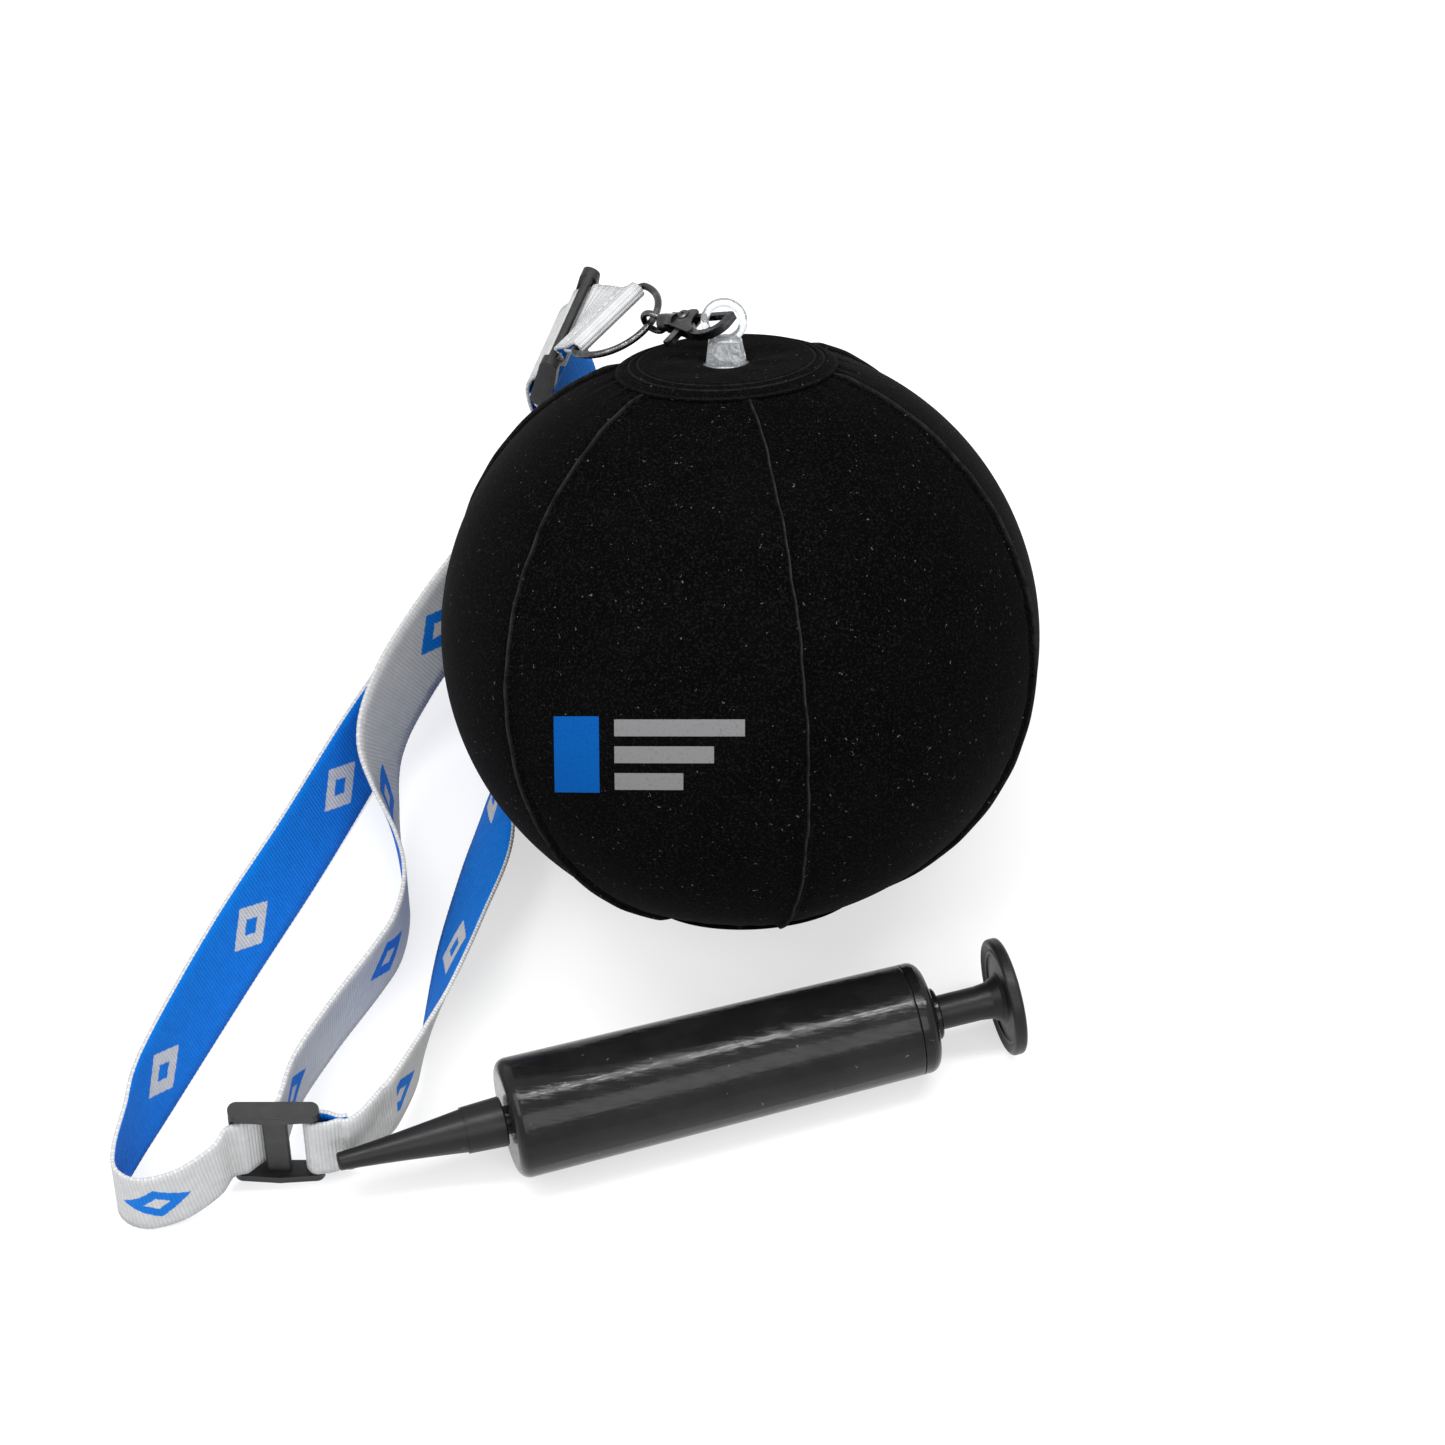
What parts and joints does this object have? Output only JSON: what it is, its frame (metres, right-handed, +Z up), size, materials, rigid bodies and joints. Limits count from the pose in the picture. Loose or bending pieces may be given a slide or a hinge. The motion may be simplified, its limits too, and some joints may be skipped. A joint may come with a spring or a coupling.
{
  "type": "swing trainer ball on a neck strap",
  "caption": "Flocked inflatable ball with a clear hanging loop, clipped by a swivel snap hook to an adjustable woven neck strap, with a separate hand pump.",
  "frame": {"origin": "middle of the footprint on the table, at the table's surface", "axes": "+X to the right along the pump towards its handle, +Y away from the viewer towards the back of the ball, +Z up"},
  "size_m": [0.2495, 0.2419, 0.1614],
  "materials": {
    "flock": "short flocked pile, matt",
    "black_vinyl": "soft black vinyl, matt",
    "clear_vinyl": "clear soft vinyl, glossy",
    "gunmetal": "dark plated zinc and wire, satin",
    "webbing": "woven polyester, light grey side and blue side",
    "black_plastic": "moulded acetal, fine texture",
    "gloss_black": "polished moulding",
    "satin_black": "satin moulding",
    "seal_rubber": "greased rubber"
  },
  "bodies": {
    "neck_strap": {"strap_tab": "webbing", "strap_long_side": "webbing", "strap_return_side": "webbing", "strap_sewn_side": "webbing", "sewn_end": "webbing"},
    "ring": {"wire_ring": "gunmetal"},
    "eye": {"swivel_eye": "gunmetal"},
    "hook": {"hook_body": "gunmetal", "hook_rivet": "gunmetal", "gate_spring": "gunmetal"},
    "gate": {"hook_gate": "gunmetal"},
    "ball": {"panel_1": "flock", "panel_2": "flock", "panel_3": "flock", "panel_4": "flock", "panel_5": "flock", "panel_6": "flock", "seam_welds": "flock", "top_patch": "flock", "bottom_patch": "flock", "hanging_loop": "clear_vinyl", "air_valve": "black_vinyl"},
    "plug": {"valve_plug": "black_vinyl"},
    "upper_slider": {"top_slider": "black_plastic"},
    "lower_slider": {"lower_slider": "black_plastic"},
    "pump": {"pump_barrel": "gloss_black", "pump_cap": "gloss_black", "outlet_flap": "seal_rubber"},
    "nozzle": {"pump_nozzle": "satin_black"},
    "plunger": {"plunger_rod": "satin_black", "piston": "satin_black", "piston_seal": "seal_rubber", "push_disc": "satin_black"}
  },
  "joints": [
    {"name": "ring_swing", "type": "hinge", "parent": "neck_strap", "child": "ring", "pos_m": [0.00755, 0.08679, 0.13262], "axis": [0.6641, 0.7396, 0.1095], "range_deg": [-30, 0]},
    {"name": "eye_swing", "type": "hinge", "parent": "ring", "child": "eye", "pos_m": [0.01956, 0.07985, 0.13965], "axis": [0.4769, 0.8789, -0.0077], "range_deg": [-25, 0]},
    {"name": "hook_spin", "type": "hinge", "parent": "eye", "child": "hook", "pos_m": [0.02406, 0.07726, 0.14265], "axis": [0.75, -0.433, 0.5], "range_deg": [0, 60]},
    {"name": "gate_swing", "type": "hinge", "parent": "hook", "child": "gate", "pos_m": [0.02884, 0.07646, 0.1452], "axis": [-0.4153, 0.2801, 0.8655], "range_deg": [-10, 0], "stiffness_Nm_per_rad": 0.02, "deforming": ["gate_spring"]},
    {"name": "ball_swing", "type": "hinge", "parent": "hook", "child": "ball", "pos_m": [0.03918, 0.0708, 0.15199], "axis": [0.035, 0.8192, -0.5725], "range_deg": [-20, 0]},
    {"name": "plug_pull", "type": "slide", "parent": "ball", "child": "plug", "axis": [0.05, -0.5736, -0.8176], "range_m": [0, 0.008]},
    {"name": "upper_slider_slide", "type": "slide", "parent": "neck_strap", "child": "upper_slider", "axis": [-0.1675, 0.1861, -0.9681], "range_m": [-0.003, 0.003], "deforming": ["strap_long_side", "strap_return_side", "strap_sewn_side"]},
    {"name": "lower_slider_slide", "type": "slide", "parent": "neck_strap", "child": "lower_slider", "axis": [1, 0, 0], "range_m": [-0.004, 0], "deforming": ["strap_long_side", "strap_return_side", "sewn_end"]},
    {"name": "pump_lift", "type": "slide", "parent": "neck_strap", "child": "pump", "axis": [0, 0, 1], "range_m": [0, 0.02]},
    {"name": "plunger_slide", "type": "slide", "parent": "pump", "child": "plunger", "axis": [0.9598, 0.2807, -0.0022], "range_m": [-0.011, 0.072]},
    {"name": "nozzle_pull", "type": "slide", "parent": "pump", "child": "nozzle", "axis": [-0.9598, -0.2807, 0.0022], "range_m": [0, 0.014]}
  ]
}
